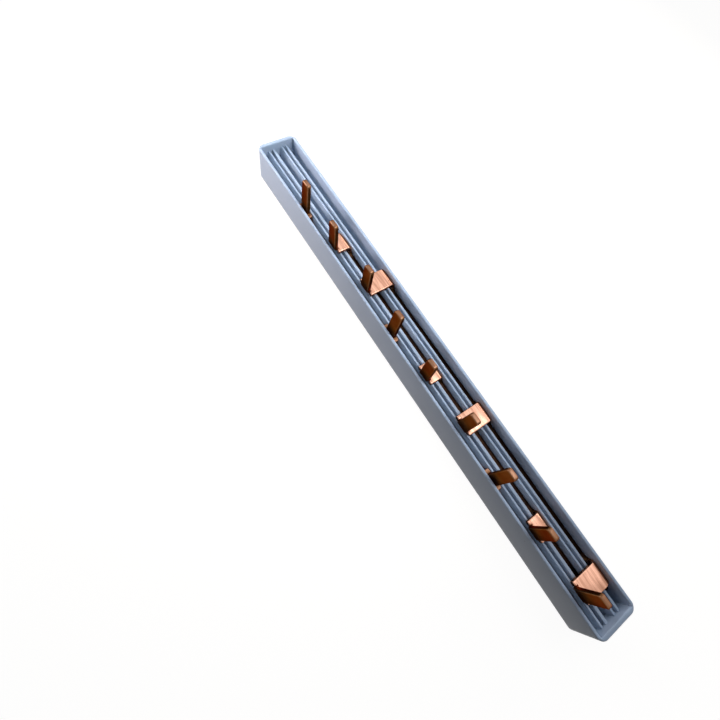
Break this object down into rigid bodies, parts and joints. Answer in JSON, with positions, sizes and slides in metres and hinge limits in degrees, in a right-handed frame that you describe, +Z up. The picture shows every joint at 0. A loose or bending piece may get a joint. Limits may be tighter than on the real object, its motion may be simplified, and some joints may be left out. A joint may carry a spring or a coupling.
{
  "type": "comb busbar",
  "caption": "Three-phase pin busbar for a row of modular circuit breakers: bent copper combs in an insulating channel profile closed by end caps.",
  "frame": {"origin": "centre of the base, under the middle of the bar's length and width", "axes": "+X along the bar, from the longer blank end towards the last pin; +Y from the wall beside the blades to the opposite wall; +Z up, the way the blades point"},
  "size_m": [0.1852, 0.0148, 0.0227],
  "materials": {
    "plastic": "satin pale grey extruded plastic",
    "copper": "bare copper strip, drawn, slightly dulled"
  },
  "bodies": {
    "root": {"housing_profile": "plastic", "end_cap_left": "plastic", "end_cap_right": "plastic", "comb_l1": "copper", "comb_l2": "copper", "comb_l3": "copper"}
  },
  "joints": []
}
